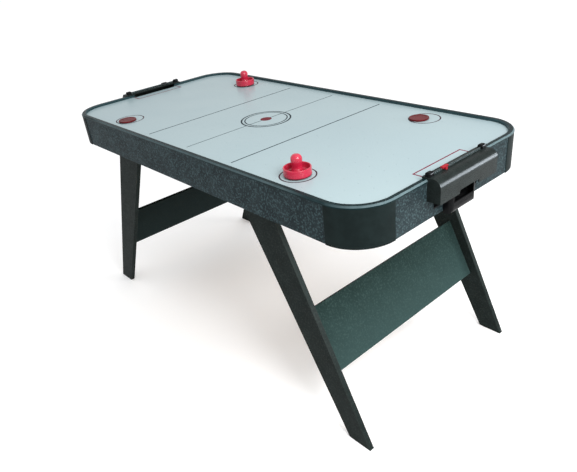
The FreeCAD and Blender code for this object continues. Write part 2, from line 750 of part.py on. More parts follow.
# angle brackets that join each panel's back to the legs
brackets = []
screws = []
BRACKET_X = "(%s - panel_thick * %s)" % (panel_face("bracket_up"), COS_LEAN)
BRACKET_Z = "(bracket_up - panel_thick * %s)" % SIN_LEAN
for end in (1, -1):
    for side in (1, -1):
        leg_span = (LEG_BACK + " - bracket_thick", LEG_BACK)
        panel_span = (LEG_BACK + " - bracket_wide", LEG_BACK)
        on_leg = box(("-bracket_wide", "0"), leg_span if side > 0 else minus(leg_span),
                     ("-bracket_tall / 2", "bracket_tall / 2"))
        on_panel = box(("-bracket_thick", "0"), panel_span if side > 0 else minus(panel_span),
                       ("-bracket_tall / 2", "bracket_tall / 2"))
        angle_iron = fuse([on_leg, on_panel])
        tilt = -LEAN
        turned = place(group([angle_iron]), BRACKET_X, "0", BRACKET_Z, SIDEWAYS, tilt)
        heads = []
        for up in ("-screw_up", "screw_up"):
            sideways = signed(side, LEG_BACK + " - screw_in")
            heads.append(rod("screw_head_r", "screw_head", "-bracket_thick - screw_head", sideways, up,
                             SIDEWAYS, 90))
            inward = signed(side, LEG_BACK + " - bracket_thick - screw_head")
            heads.append(rod("screw_head_r", "screw_head", "-screw_in", inward, up,
                             ACROSS, -90 if side > 0 else 90))
        turned_heads = place(group(heads), BRACKET_X, "0", BRACKET_Z, SIDEWAYS, tilt)
        half_turn = 0 if end > 0 else 180
        brackets.append(place(group([turned]), "0", "0", "0", UP, half_turn))
        screws.append(place(group([turned_heads]), "0", "0", "0", UP, half_turn))
keep(group(brackets), "panel_brackets")
keep(group(screws), "bracket_screws")

# ---------------------------------------------------------------------------
# Blower
# ---------------------------------------------------------------------------
FLOOR_LOW = "(floor_top - floor_thick)"
can = rod("blower_r", FLOOR_LOW + " - blower_low", "0", "0", "blower_low")
can_flange = rod("flange_r", "flange", "0", "0", FLOOR_LOW + " - flange")
can_room = rod("blower_r - blower_wall", FLOOR_LOW + " - blower_low", "0", "0", "blower_low + blower_wall")
can_hole = rod("inlet_r", "blower_wall + 2 * past", "0", "0", "blower_low - past")
keep(cut(fuse([can, can_flange]), [can_room, can_hole]), "blower_housing")

screw_heads = []
for step in range(BRIM_SCREWS):
    turn = 2 * math.pi * (step + 0.5) / BRIM_SCREWS
    reach = "(blower_r + flange_r) / 2"
    screw_heads.append(rod("screw_head_r", "screw_head", "%s * %.6f" % (reach, math.cos(turn)),
                           "%s * %.6f" % (reach, math.sin(turn)), FLOOR_LOW + " - flange - screw_head"))
keep(group(screw_heads), "blower_screws")

bars = [
    box(("-bridge_long / 2", "bridge_long / 2"), ("-bridge_wide / 2", "bridge_wide / 2"),
        ("floor_top", "floor_top + bridge_thick")),
    box(("-bridge_wide / 2", "bridge_wide / 2"), ("-bridge_long / 2", "bridge_long / 2"),
        ("floor_top", "floor_top + bridge_thick")),
]
keep(fuse(bars), "motor_bridge")

motor = rod("motor_r", "floor_top - motor_low", "0", "0", "motor_low")
motor_bore = rod("shaft_r + shaft_gap", "floor_top - motor_low - motor_cap", "0", "0", "motor_low - past")
keep(cut(motor, [motor_bore]), "blower_motor")
keep(rod("shaft_r", "floor_top - shaft_low - shaft_end", "0", "0", "shaft_low"), "motor_shaft")

wheel_parts = [
    rod("wheel_r", "wheel_plate", "0", "0", "wheel_high - wheel_plate"),
    rod("hub_r", "wheel_high - wheel_low", "0", "0", "wheel_low"),
]
for step in range(BLADES):
    blade = box(("wheel_in", "wheel_r"), ("-blade_thick / 2", "blade_thick / 2"),
                ("wheel_low", "wheel_high - wheel_plate / 2"))
    wheel_parts.append(place(group([blade]), "0", "0", "0", UP, 360 * step / BLADES))
shaft_hole = rod("shaft_r", "wheel_high - wheel_low + 2 * past", "0", "0", "wheel_low - past")
keep(cut(fuse(wheel_parts), [shaft_hole]), "impeller")

grille_parts = []
for radius in ("grille_r", "grille_mid_r", "grille_small_r"):
    ring = rod(radius, "grille_thick", "0", "0", "blower_low - grille_thick")
    hole = rod(radius + " - grille_bar", "grille_thick + 2 * past", "0", "0",
               "blower_low - grille_thick - past")
    grille_parts.append(cut(ring, [hole]))
for step in range(GRILLE_SPOKES):
    bar = box(("-(grille_r - grille_bar / 2)", "grille_r - grille_bar / 2"),
              ("-grille_bar / 2", "grille_bar / 2"),
              ("blower_low - grille_thick", "blower_low"))
    grille_parts.append(place(group([bar]), "0", "0", "0", UP, 180 * step / GRILLE_SPOKES))
keep(fuse(grille_parts), "intake_grille")

# ---------------------------------------------------------------------------
# Switch and power inlet
# ---------------------------------------------------------------------------
face_plate = box(("switch_at - plate_long / 2", "switch_at + plate_long / 2"),
                 (SIDE_OUT, SIDE_OUT + " + plate_thick"),
                 ("switch_up - plate_tall / 2", "switch_up + plate_tall / 2"))
face_plate = rounded(face_plate, "plate_round", lambda e: straight_edge(e, SIDEWAYS))
back_box = box(("switch_at - box_long / 2", "switch_at + box_long / 2"),
               (SIDE_OUT + " - box_deep", SIDE_OUT),
               ("switch_up - box_tall / 2", "switch_up + box_tall / 2"))
box_room = box(("switch_at - box_long / 2 + box_wall", "switch_at + box_long / 2 - box_wall"),
               (SIDE_OUT + " - box_deep + box_wall", SIDE_OUT),
               ("switch_up - box_tall / 2 + box_wall", "switch_up + box_tall / 2 - box_wall"))
window = box(("rocker_at - rocker_wide / 2 - rocker_gap", "rocker_at + rocker_wide / 2 + rocker_gap"),
             (SIDE_OUT + " - past", SIDE_OUT + " + plate_thick + past"),
             ("switch_up - rocker_tall / 2 - rocker_gap", "switch_up + rocker_tall / 2 + rocker_gap"))
jack_hole = rod("jack_r", "plate_thick + 2 * past", "jack_at", SIDE_OUT + " - past", "switch_up",
                ACROSS, -90)
shell = cut(fuse([face_plate, back_box]), [box_room, window, jack_hole])
ROCKER_Y = SIDE_OUT + " - rocker_sunk"
CHEEK_NEAR = "rocker_wide / 2 + rocker_gap"
cheeks = [
    box(("rocker_at + %s" % low, "rocker_at + %s" % high), (SIDE_OUT + " - cheek_deep", SIDE_OUT),
        ("switch_up - cheek_half", "switch_up + cheek_half"))
    for low, high in (
        (CHEEK_NEAR, CHEEK_NEAR + " + cheek_thick"),
        ("(-(%s + cheek_thick))" % CHEEK_NEAR, "(-(%s))" % CHEEK_NEAR),
    )
]
PIVOT_LONG = "rocker_wide + 2 * rocker_gap + 2 * cheek_thick"
pivot_hole = rod("pivot_r + pivot_fit", PIVOT_LONG + " + 2 * past",
                 "rocker_at - (%s) / 2 - past" % PIVOT_LONG,
                 ROCKER_Y, "switch_up", SIDEWAYS, 90)
keep(cut(fuse([shell] + cheeks), [pivot_hole]), "control_plate")

rocker_body = new_body("Rocker")
ROCKER_HALF = "rocker_tall / 2"
rocker_points = [
    ("-rocker_thick / 2", "-(%s)" % ROCKER_HALF),
    ("rocker_thick / 2", "-(%s)" % ROCKER_HALF),
    ("rocker_thick / 2 - rocker_waist", "0"),
    ("rocker_thick / 2", ROCKER_HALF),
    ("-rocker_thick / 2", ROCKER_HALF),
]
pad(rocker_body, outline(rocker_body, "YZ_Plane", rocker_points), "rocker_wide")
place(rocker_body, "rocker_at", ROCKER_Y, "switch_up", ACROSS, SIZES["rocker_tilt"])
pivot = rod("pivot_r", PIVOT_LONG, "rocker_at - (%s) / 2" % PIVOT_LONG, ROCKER_Y, "switch_up", SIDEWAYS, 90)
keep(fuse([rocker_body, pivot]), "rocker_switch")

jack_shell = rod("jack_r", "jack_deep + plate_thick", "jack_at", SIDE_OUT + " - jack_deep", "switch_up",
                 ACROSS, -90)
jack_room = rod("jack_bore", "jack_deep + plate_thick", "jack_at", SIDE_OUT + " - jack_deep + jack_base",
                "switch_up", ACROSS, -90)
jack_pin = rod("jack_pin", "jack_deep - past", "jack_at", SIDE_OUT + " - jack_deep + pin_root", "switch_up",
               ACROSS, -90)
keep(fuse([cut(jack_shell, [jack_room]), jack_pin]), "power_inlet")

# ---------------------------------------------------------------------------
# Pucks and pushers
# ---------------------------------------------------------------------------


def puck(label, x, y):
    """Flat disc with a shallow dish in each face."""
    body = new_body(label)
    points = [
        ("0", "puck_dish"),
        ("puck_dish_r", "puck_dish"),
        ("puck_dish_r + puck_dish", "0"),
        ("puck_r", "0"),
        ("puck_r", "puck_tall"),
        ("puck_dish_r + puck_dish", "puck_tall"),
        ("puck_dish_r", "puck_tall - puck_dish"),
        ("0", "puck_tall - puck_dish"),
    ]
    disc = spin(body, outline(body, "XZ_Plane", points))
    rims = (("puck_r", "0"), ("puck_r", "puck_tall"))
    soften(body, disc, "puck_round", lambda e: ring_edge(e, rims))
    keep(place(body, x, y, "field_top + float"), label)


def pusher(label, x, y):
    """Cup-shaped striker with a round knob standing in its middle."""
    body = new_body(label)
    points = [
        ("0", "felt_thick"),
        ("push_r", "felt_thick"),
        ("push_r", "push_rim"),
        ("push_rim_in", "push_rim"),
        ("push_floor_r", "push_floor"),
        ("knob_foot", "push_floor"),
        ("knob_neck", "knob_waist"),
        ("knob_r", "knob_wide"),
        ("knob_r", "knob_top"),
        ("0", "knob_top"),
    ]
    turned = spin(body, outline(body, "XZ_Plane", points))
    rim = (("push_r", "push_rim"), ("push_rim_in", "push_rim"), ("push_r", "felt_thick"))
    dish = (("push_floor_r", "push_floor"), ("knob_foot", "push_floor"))
    turned = soften(body, turned, "rim_round", lambda e: ring_edge(e, rim))
    turned = soften(body, turned, "dish_round", lambda e: ring_edge(e, dish))
    turned = soften(body, turned, "knob_round", lambda e: ring_edge(e, (("knob_r", "knob_top"),)))
    turned = soften(body, turned, "swell_round", lambda e: ring_edge(e, (("knob_r", "knob_wide"),)))
    soften(body, turned, "waist_round", lambda e: ring_edge(e, (("knob_neck", "knob_waist"),)))
    keep(place(body, x, y, "field_top + float"), label)


def felt_ring(label, x, y):
    disc = rod("felt_out", "felt_thick", x, y, "field_top + float")
    hole = rod("felt_in", "felt_thick + 2 * past", x, y, "field_top + float - past")
    keep(cut(disc, [hole]), label)


puck("puck_left", "puck_a_x", "puck_a_y")
puck("puck_right", "puck_b_x", "puck_b_y")
pusher("pusher_right", "push_a_x", "push_a_y")
pusher("pusher_left", "push_b_x", "push_b_y")
felt_ring("felt_right", "push_a_x", "push_a_y")
felt_ring("felt_left", "push_b_x", "push_b_y")

# ---------------------------------------------------------------------------
# Check every object, then write one STEP file per piece
# ---------------------------------------------------------------------------
doc.recompute()
for obj in doc.Objects:
    if {"Invalid", "Error"} & set(obj.State):
        raise RuntimeError("%s is in a bad state: %s" % (obj.Label, obj.State))
os.makedirs("parts", exist_ok=True)
for node in nodes:
    shape = node.Shape
    if shape.isNull() or not shape.isValid() or not shape.Solids:
        raise RuntimeError("%s has no valid solid" % node.Label)
    shape.exportStep("parts/%s.step" % node.Label)
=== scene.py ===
"""Looks of the air hockey table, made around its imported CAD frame. Metres, Z up."""
import json
import math

import bmesh
import bpy
from mathutils import Matrix, Vector


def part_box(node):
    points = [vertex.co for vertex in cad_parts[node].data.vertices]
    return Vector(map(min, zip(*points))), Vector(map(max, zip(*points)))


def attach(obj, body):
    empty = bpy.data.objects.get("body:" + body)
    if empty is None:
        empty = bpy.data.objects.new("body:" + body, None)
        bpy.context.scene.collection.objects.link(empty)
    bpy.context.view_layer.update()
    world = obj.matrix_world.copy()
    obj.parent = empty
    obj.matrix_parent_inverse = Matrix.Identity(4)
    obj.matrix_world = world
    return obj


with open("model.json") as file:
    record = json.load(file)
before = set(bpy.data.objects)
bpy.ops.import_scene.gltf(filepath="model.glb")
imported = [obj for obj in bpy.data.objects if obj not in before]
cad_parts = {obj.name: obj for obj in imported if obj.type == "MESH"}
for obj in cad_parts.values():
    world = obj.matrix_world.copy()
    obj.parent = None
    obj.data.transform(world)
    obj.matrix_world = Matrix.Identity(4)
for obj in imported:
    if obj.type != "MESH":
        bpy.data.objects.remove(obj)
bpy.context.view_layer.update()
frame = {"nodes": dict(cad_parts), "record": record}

NODES = frame["nodes"]
SCENE = bpy.context.scene
MM = 0.001
TABLE = "table"
ENDS = ("right", "left")


# ---------------------------------------------------------------------------
# Node trees
# ---------------------------------------------------------------------------
def tone(red, green, blue):
    """Linear colour from display values of 0 to 255."""
    shares = [level / 255 for level in (red, green, blue)]
    return (*[s / 12.92 if s <= 0.04045 else ((s + 0.055) / 1.055) ** 2.4 for s in shares], 1)


class Paint:
    """One material's node tree, with short calls for the nodes it uses."""

    def __init__(self, name, **constants):
        self.material = bpy.data.materials.new(name)
        self.material.use_nodes = True
        tree = self.material.node_tree
        self.nodes, self.links = tree.nodes, tree.links
        self.nodes.clear()
        output = self.nodes.new("ShaderNodeOutputMaterial")
        self.shader = self.nodes.new("ShaderNodeBsdfPrincipled")
        self.links.new(self.shader.outputs[0], output.inputs["Surface"])
        self.coords = self.nodes.new("ShaderNodeTexCoord").outputs["Object"]
        for socket, number in constants.items():
            self.shader.inputs[socket.replace("_", " ")].default_value = number

    def feed(self, socket, what):
        if isinstance(what, bpy.types.NodeSocket):
            self.links.new(what, socket)
        else:
            socket.default_value = what

    def add(self, kind, inputs, **settings):
        """New node with its inputs fed. Inputs are named by label or number."""
        node = self.nodes.new(kind)
        for name, choice in settings.items():
            setattr(node, name, choice)
        for name, what in inputs.items():
            self.feed(node.inputs[name], what)
        return node

    def noise(self, size, detail=3, stretch=(1, 1, 1)):
        """Cloudy pattern whose patches are about size metres across."""
        spots = self.coords
        if stretch != (1, 1, 1):
            spots = self.add("ShaderNodeMapping", {"Vector": spots, "Scale": stretch}).outputs[0]
        facts = {"Vector": spots, "Scale": 1 / size, "Detail": detail}
        return self.add("ShaderNodeTexNoise", facts).outputs[0]

    def cells(self, size):
        """Distance from the middle of each random cell."""
        facts = {"Vector": self.coords, "Scale": 1 / size}
        return self.add("ShaderNodeTexVoronoi", facts).outputs["Distance"]

    def spread(self, fac, low, high, to_low=0.0, to_high=1.0):
        """Stretch of fac from low..high to to_low..to_high, held at both ends."""
        facts = {"Value": fac, "From Min": low, "From Max": high}
        facts.update({"To Min": to_low, "To Max": to_high})
        return self.add("ShaderNodeMapRange", facts).outputs[0]

    def maths(self, operation, *inputs):
        return self.add("ShaderNodeMath", dict(enumerate(inputs)), operation=operation).outputs[0]

    def vectors(self, operation, first, second):
        return self.add("ShaderNodeVectorMath", {0: first, 1: second}, operation=operation)

    def times(self, first, second):
        return self.maths("MULTIPLY", first, second)

    def mix(self, fac, first, second):
        node = self.nodes.new("ShaderNodeMix")
        node.data_type = "RGBA"
        for index, what in ((0, fac), (6, first), (7, second)):
            self.feed(node.inputs[index], what)
        return node.outputs[2]

    def normal(self):
        return self.nodes.new("ShaderNodeNewGeometry").outputs["Normal"]

    def component(self, vector, axis):
        return self.add("ShaderNodeSeparateXYZ", {"Vector": vector}).outputs[axis]

    def height(self):
        return self.component(self.coords, "Z")

    def outward(self, axes):
        """How much a face looks away from the table's middle along the axes, in metres."""
        flat = self.vectors("MULTIPLY", self.coords, axes).outputs[0]
        return self.vectors("DOT_PRODUCT", flat, self.normal()).outputs["Value"]

    def edges(self, radius):
        """1 along the piece's edges and 0 on its faces."""
        soft = self.add("ShaderNodeBevel", {"Radius": radius}, samples=4).outputs[0]
        turn = self.vectors("DOT_PRODUCT", soft, self.normal())
        return self.spread(turn.outputs["Value"], 0.99, 0.8)

    def clouds(self, base, shade, size, detail=3):
        return self.mix(self.spread(self.noise(size, detail), 0.35, 0.65), base, shade)

    def rubbed(self, colour, worn, share, radius=1.2 * MM, size=9 * MM, low=0.4, high=0.7):
        """Colour worn through in patches along the edges."""
        rub = self.times(self.edges(radius), self.spread(self.noise(size), low, high))
        return self.mix(self.times(rub, share), colour, worn)

    def bump(self, height, strength, depth):
        facts = {"Height": height, "Strength": strength, "Distance": depth}
        return self.add("ShaderNodeBump", facts).outputs[0]

    def done(self, colour, rough, normal):
        self.feed(self.shader.inputs["Base Color"], colour)
        self.feed(self.shader.inputs["Roughness"], rough)
        self.feed(self.shader.inputs["Normal"], normal)
        return self.material


# ---------------------------------------------------------------------------
# Kinds of surface
# ---------------------------------------------------------------------------
HOUSING_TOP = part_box("score_strip_right")[0].z      # the strip stands on it, the knobs rise above
# the pushers' lowest few millimetres get a painted deep red shade where they stand on the table
HEEL_TALL = 4.2 * MM
PUSHER_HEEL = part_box("pusher_right")[0].z + HEEL_TALL
CORNER_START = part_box("side_rail_front")[1].x
RAIL_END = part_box("end_rail_right_front")[1].x
PANEL_LOW, PANEL_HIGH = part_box("end_panel_right")
LEG_LIGHT_FROM, LEG_LIGHT_TO = 100 * MM, 550 * MM     # heights between which painted light on the legs' outward faces grows

CROWN_FADE = 0.2 * MM
HEEL_FADE = 1.2 * MM
NEAR_BLACK = tone(12, 13, 14)
BASE_SHADE_RED = tone(70, 8, 24)

# how far the painted highlight along the side rails' outer chamfer reaches, measured from the
# table's middle
RIDGE_FULL, RIDGE_FADED = 500 * MM, 580 * MM
RIDGE_SIDE, RIDGE_FAINT, RIDGE_END = 0.5, 0.1, 1.0  # how strong the painted highlight is: middle, between, ends


def speckled(name, base, shade, fleck, worn, rough=0.42, fleck_share=0.5, shine_level=0.2,
             light_and_shade=None):
    """Dark printed laminate: cloudy ground, pale and dark flecks, a rubbed look along the edges.

    tints, if given, is a function that takes the paint and its colour and returns the colour with
    painted light and shade added."""
    paint = Paint(name, Specular_IOR_Level=shine_level)
    colour = paint.clouds(base, shade, 50 * MM)
    grit = paint.noise(5.5 * MM, 2)
    colour = paint.mix(paint.spread(grit, 0.52, 0.66, 0, fleck_share), colour, fleck)
    colour = paint.mix(paint.spread(grit, 0.46, 0.36, 0, 0.6), colour, shade)
    sand = paint.spread(paint.noise(1.8 * MM, 2), 0.55, 0.72, 0, fleck_share * 0.6)
    colour = paint.mix(sand, colour, fleck)
    # painted light and shade added by the given function, used for the legs and the panels
    if light_and_shade:
        colour = light_and_shade(paint, colour)
    colour = paint.rubbed(colour, worn, 0.7, 1.6 * MM, 20 * MM, 0.35, 0.75)
    shine = paint.spread(paint.noise(12 * MM), 0.3, 0.7, rough - 0.05, rough + 0.07)
    return paint.done(colour, shine, paint.bump(paint.noise(1.6 * MM, 2), 0.22, 0.4 * MM))


def leg_painted_light(paint, colour):
    """Painted light: paler faces on the legs where they look out along the table, fading towards the
    floor.
    """
    share = paint.spread(paint.height(), LEG_LIGHT_FROM, LEG_LIGHT_TO, 0.05, 0.5)
    turned = paint.spread(paint.outward((1, 0, 0)), 0.2, 0.3)
    return paint.mix(paint.times(turned, share), colour, tone(62, 69, 68))


def panel_painted_shade(paint, colour):
    """Painted shade on the panels: paler towards the foot and darker towards the top under the
    table, and near black on the face towards the table's middle.
    """
    # painted shade: the top, under the table, darker than the foot
    foot = paint.spread(paint.height(), PANEL_HIGH.z, PANEL_LOW.z, 0, 0.6)
    colour = paint.mix(foot, colour, tone(56, 76, 75))
    # painted shade: the face towards the table's middle is made near black
    inner_face_shade = paint.spread(paint.outward((1, 0, 0)), -0.1, -0.2, 0, 0.75)
    return paint.mix(inner_face_shade, colour, tone(12, 15, 16))


def moulded(name, base, shade, worn, rough, bumpy=0.12, crown=None, heel=None, **constants):
    """Moulded plastic: fine grain, faint clouding, scuffed edges.

    It is near black above the height crown, and below the height heel it gets a painted shade of
    deep red."""
    paint = Paint(name, **constants)
    colour = paint.clouds(base, shade, 30 * MM)
    if crown is not None:
        above = paint.spread(paint.height(), crown, crown + CROWN_FADE)
        colour = paint.mix(above, colour, NEAR_BLACK)
    colour = paint.rubbed(colour, worn, 0.6)
    # painted shade: deep red at the very bottom, below the heel
    if heel is not None:
        below = paint.spread(paint.height(), heel, heel - HEEL_FADE, 0, 0.85)
        colour = paint.mix(below, colour, BASE_SHADE_RED)
    scuff = paint.noise(6 * MM, 4, (1, 1, 3))
    shine = paint.spread(scuff, 0.3, 0.75, rough, rough + 0.12)
    return paint.done(colour, shine, paint.bump(paint.noise(0.9 * MM, 2), bumpy, 0.3 * MM))


def rail_plastic(name, base, shade, inner, chamfer_highlight, worn):
    """Rail plastic with painted light in streaks on a paler inner wall, and a painted highlight in
    streaks along the outer chamfer, strongest at the table's ends.
    """
    paint = Paint(name, Specular_IOR_Level=0.06)
    colour = paint.clouds(base, shade, 30 * MM)
    colour = paint.rubbed(colour, worn, 0.4)
    # painted light on the inner wall facing the table's middle, in streaks
    away = paint.outward((1, 1, 0))
    streaks = paint.spread(paint.noise(20 * MM, 4), 0.3, 0.7, 0.7, 1.0)
    colour = paint.mix(paint.times(paint.spread(away, -0.2, -0.3), streaks), colour, inner)
    # painted highlight along the outer chamfer, faint near the corners and strongest at the ends
    looks_up = paint.spread(paint.component(paint.normal(), "Z"), 0.3, 0.5)
    chamfer = paint.times(paint.spread(away, 0.1, 0.2), looks_up)
    reach = paint.maths("ABSOLUTE", paint.component(paint.coords, "X"))
    at_sides = paint.spread(reach, RIDGE_FULL, RIDGE_FADED, RIDGE_SIDE, RIDGE_FAINT)
    at_ends = paint.spread(reach, CORNER_START, RAIL_END, RIDGE_FAINT, RIDGE_END)
    pale = paint.times(streaks, paint.maths("MAXIMUM", at_sides, at_ends))
    colour = paint.mix(paint.times(chamfer, pale), colour, chamfer_highlight)
    shine = paint.spread(paint.noise(6 * MM, 4, (1, 1, 3)), 0.3, 0.75, 0.24, 0.36)
    return paint.done(colour, shine, paint.bump(paint.noise(0.9 * MM, 2), 0.12, 0.3 * MM))


def smooth_field(name):
    """Pale glossy playing surface with faint mottling and faint scuffs."""
    paint = Paint(name, Specular_IOR_Level=0.25, Coat_Weight=0.06, Coat_Roughness=0.12)
    cloud = paint.spread(paint.noise(0.3, 1), 0.1, 0.9)
    colour = paint.mix(cloud, tone(159, 177, 180), tone(152, 171, 176))
    dust = paint.spread(paint.noise(2 * MM, 2), 0.55, 0.8, 0, 0.3)
    colour = paint.mix(dust, colour, tone(140, 158, 163))
    shine = paint.spread(paint.noise(0.15, 1), 0.1, 0.9, 0.26, 0.34)
    return paint.done(colour, shine, paint.bump(paint.noise(20 * MM, 2), 0.02, 0.1 * MM))


def fibreboard(name):
    """Bare brown board with stretched fibres and dark flecks."""
    paint = Paint(name)
    fibres = paint.noise(4 * MM, 5, (1, 1, 3))
    colour = paint.mix(paint.spread(fibres, 0.35, 0.65), tone(150, 117, 82), tone(181, 150, 112))
    flecks = paint.spread(paint.cells(6 * MM), 0.0, 0.35, 0.5, 0)
    colour = paint.mix(flecks, colour, tone(112, 84, 58))
    shine = paint.spread(fibres, 0.3, 0.7, 0.75, 0.9)
    return paint.done(colour, shine, paint.bump(fibres, 0.5, 0.6 * MM))


def bare_metal(name, base, shade, rough):
    """Brushed metal with a few dull spots."""
    paint = Paint(name, Metallic=1.0)
    brushed = paint.noise(2 * MM, 3, (1, 12, 1))
    colour = paint.mix(paint.spread(brushed, 0.3, 0.7), base, shade)
    spots = paint.spread(paint.noise(10 * MM), 0.6, 0.75, 0, 0.4)
    colour = paint.mix(spots, colour, tone(120, 112, 100))
    shine = paint.spread(paint.noise(5 * MM), 0.3, 0.7, rough, rough + 0.15)
    return paint.done(colour, shine, paint.bump(brushed, 0.15, 0.2 * MM))


def napped_felt(name):
    """Dark felt with a fine nap."""
    paint = Paint(name, Sheen_Weight=0.5, Sheen_Roughness=0.6)
    nap = paint.noise(1.2 * MM, 5)
    colour = paint.mix(paint.spread(nap, 0.3, 0.7), tone(38, 40, 42), tone(70, 72, 74))
    shine = paint.spread(nap, 0.3, 0.7, 0.85, 0.98)
    return paint.done(colour, shine, paint.bump(nap, 0.8, 0.8 * MM))


def printed(name, base, shade):
    """Ink printed on the playing surface, a little uneven."""
    paint = Paint(name, Specular_IOR_Level=0.03)
    colour = paint.clouds(base, shade, 6 * MM, 4)
    shine = paint.spread(paint.noise(4 * MM), 0.3, 0.7, 0.3, 0.42)
    return paint.done(colour, shine, paint.bump(paint.noise(1 * MM, 2), 0.05, 0.2 * MM))


# ---------------------------------------------------------------------------
# Materials
# ---------------------------------------------------------------------------
APRON = speckled(
    "apron_laminate", tone(39, 49, 52), tone(29, 37, 40), tone(84, 109, 113), tone(92, 110, 112),
    fleck_share=0.34, shine_level=0.03)
# the legs get painted light on their outward faces
LEG = speckled(
    "leg_laminate", tone(29, 35, 34), tone(22, 28, 27), tone(54, 63, 61), tone(70, 78, 76),
    rough=0.5, fleck_share=0.3, shine_level=0.03, light_and_shade=leg_painted_light)
# the panels get painted shade, darker at the top and on their inner faces
PANEL = speckled(
    "panel_laminate", tone(34, 50, 48), tone(29, 44, 42), tone(60, 79, 77), tone(92, 108, 106),
    rough=0.5, fleck_share=0.35, shine_level=0.02, light_and_shade=panel_painted_shade)
CORNER = moulded(
    "corner_plastic", tone(24, 33, 33), tone(20, 28, 28), tone(54, 68, 68), 0.4,
    Specular_IOR_Level=0.03)
# inner is painted light on the rail's inner wall; the pale chamfer colour is a painted highlight
RAIL = rail_plastic(
    "rail_plastic", tone(14, 35, 38), tone(10, 28, 30), inner=tone(46, 67, 71),
    chamfer_highlight=tone(96, 114, 118), worn=tone(52, 70, 72))
GOAL = moulded(
    "goal_plastic", tone(32, 38, 37), tone(26, 31, 30), tone(52, 58, 57), 0.23,
    bumpy=0.04, crown=HOUSING_TOP, Specular_IOR_Level=0.05)
TRAY = moulded(
    "tray_plastic", tone(13, 14, 15), tone(9, 10, 11), tone(44, 46, 48), 0.32,
    Specular_IOR_Level=0.08)
STRIP = moulded("strip_plastic", tone(22, 38, 38), tone(16, 30, 30), tone(84, 104, 104), 0.3)
FIELD = smooth_field("field_laminate")
RAW = fibreboard("raw_board")
# the pushers get a painted shade along their base
RED = moulded(
    "red_plastic", tone(186, 34, 63), tone(172, 28, 55), tone(226, 102, 122), 0.24,
    bumpy=0.05, heel=PUSHER_HEEL, Coat_Weight=0.3, Coat_Roughness=0.12)
SLIDER_RED = moulded(
    "slider_red_plastic", tone(150, 34, 44), tone(136, 28, 38), tone(176, 80, 88), 0.34,
    bumpy=0.05, Specular_IOR_Level=0.1)
PUCK_RED = moulded(
    "puck_red_plastic", tone(96, 20, 25), tone(82, 15, 20), tone(146, 72, 72), 0.34,
    bumpy=0.08, Specular_IOR_Level=0.15)
FELT = napped_felt("felt")
STEEL = bare_metal("steel", tone(196, 198, 202), tone(166, 168, 172), 0.28)
MOTOR = bare_metal("motor_metal", tone(150, 152, 156), tone(120, 122, 126), 0.38)
BLACK = moulded("black_plastic", tone(30, 31, 33), tone(23, 24, 26), tone(74, 76, 78), 0.38)
INK_DARK = printed("ink_dark", tone(18, 34, 42), tone(30, 46, 54))
INK_NAVY = printed("ink_navy", tone(6, 22, 30), tone(14, 32, 40))
INK_MAROON = printed("ink_maroon", tone(92, 20, 32), tone(110, 34, 44))
INK_CRIMSON = printed("ink_crimson", tone(106, 18, 42), tone(122, 34, 56))
INK_PLUM = printed("ink_plum", tone(48, 20, 32), tone(62, 32, 44))
TICK_WHITE = printed("tick_white", tone(132, 146, 148), tone(110, 122, 124))

FINISHES = {
    "dark_laminate": APRON,
    "corner_plastic": CORNER,
    "rail_plastic": RAIL,
    "field_laminate": FIELD,
    "raw_board": RAW,
    "goal_plastic": GOAL,
    "red_plastic": RED,
    "felt": FELT,
    "steel": STEEL,
    "motor_metal": MOTOR,
    "black_plastic": BLACK,
}
# nodes that look different from the others of their slot, by the start of their names
OWN_FINISHES = {
    "leg_left": LEG,
    "leg_right": LEG,
    "end_panel": PANEL,
    "puck": PUCK_RED,
    "return_tray": TRAY,
    "score_strip": STRIP,
    "score_slider_right": SLIDER_RED,
}
SLOT_OF = {part["node"]: part["material_slot"] for part in frame["record"]["subparts"]}
for node_name, node in NODES.items():
    finish = FINISHES[SLOT_OF[node_name]]
    for start, own_finish in OWN_FINISHES.items():
        if node_name.startswith(start):
            finish = own_finish
    node.data.materials.clear()
    node.data.materials.append(finish)


# ---------------------------------------------------------------------------
# Mesh helpers
# ---------------------------------------------------------------------------
def piece(name, mesh, material, body=TABLE):
    """Object for a bmesh, painted and riding on a body."""
    data = bpy.data.meshes.new(name)
    mesh.to_mesh(data)
    mesh.free()
    data.materials.append(material)
    thing = bpy.data.objects.new(name, data)
    SCENE.collection.objects.link(thing)
    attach(thing, body)
    return thing


def slab(mesh, outer, inner, low, high):
    """Flat ring or, with no inner loop, a plate, between two heights. Loops are lists of (x, y)."""
    if not inner:
        top = [mesh.verts.new((x, y, high)) for x, y in outer]
        bottom = [mesh.verts.new((x, y, low)) for x, y in outer]
        mesh.faces.new(top)
        mesh.faces.new(bottom[::-1])
        sides = [(top, bottom)]
    else:
        outer_top, outer_low, inner_top, inner_low = [
            [mesh.verts.new((x, y, z)) for x, y in loop]
            for loop in (outer, inner)
            for z in (high, low)
        ]
        sides = [
            (outer_top, outer_low),
            (inner_low, inner_top),
            (inner_top, outer_top),
            (outer_low, inner_low),
        ]
    for first, second in sides:
        count = len(first)
        for i in range(count):
            j = (i + 1) % count
            mesh.faces.new((first[j], first[i], second[i], second[j]))


def circle(centre, radius, count=96):
    turns = [2 * math.pi * i / count for i in range(count)]
    return [(centre[0] + radius * math.cos(t), centre[1] + radius * math.sin(t)) for t in turns]


def oblong(x_low, x_high, y_low, y_high):
    return [(x_low, y_low), (x_high, y_low), (x_high, y_high), (x_low, y_high)]


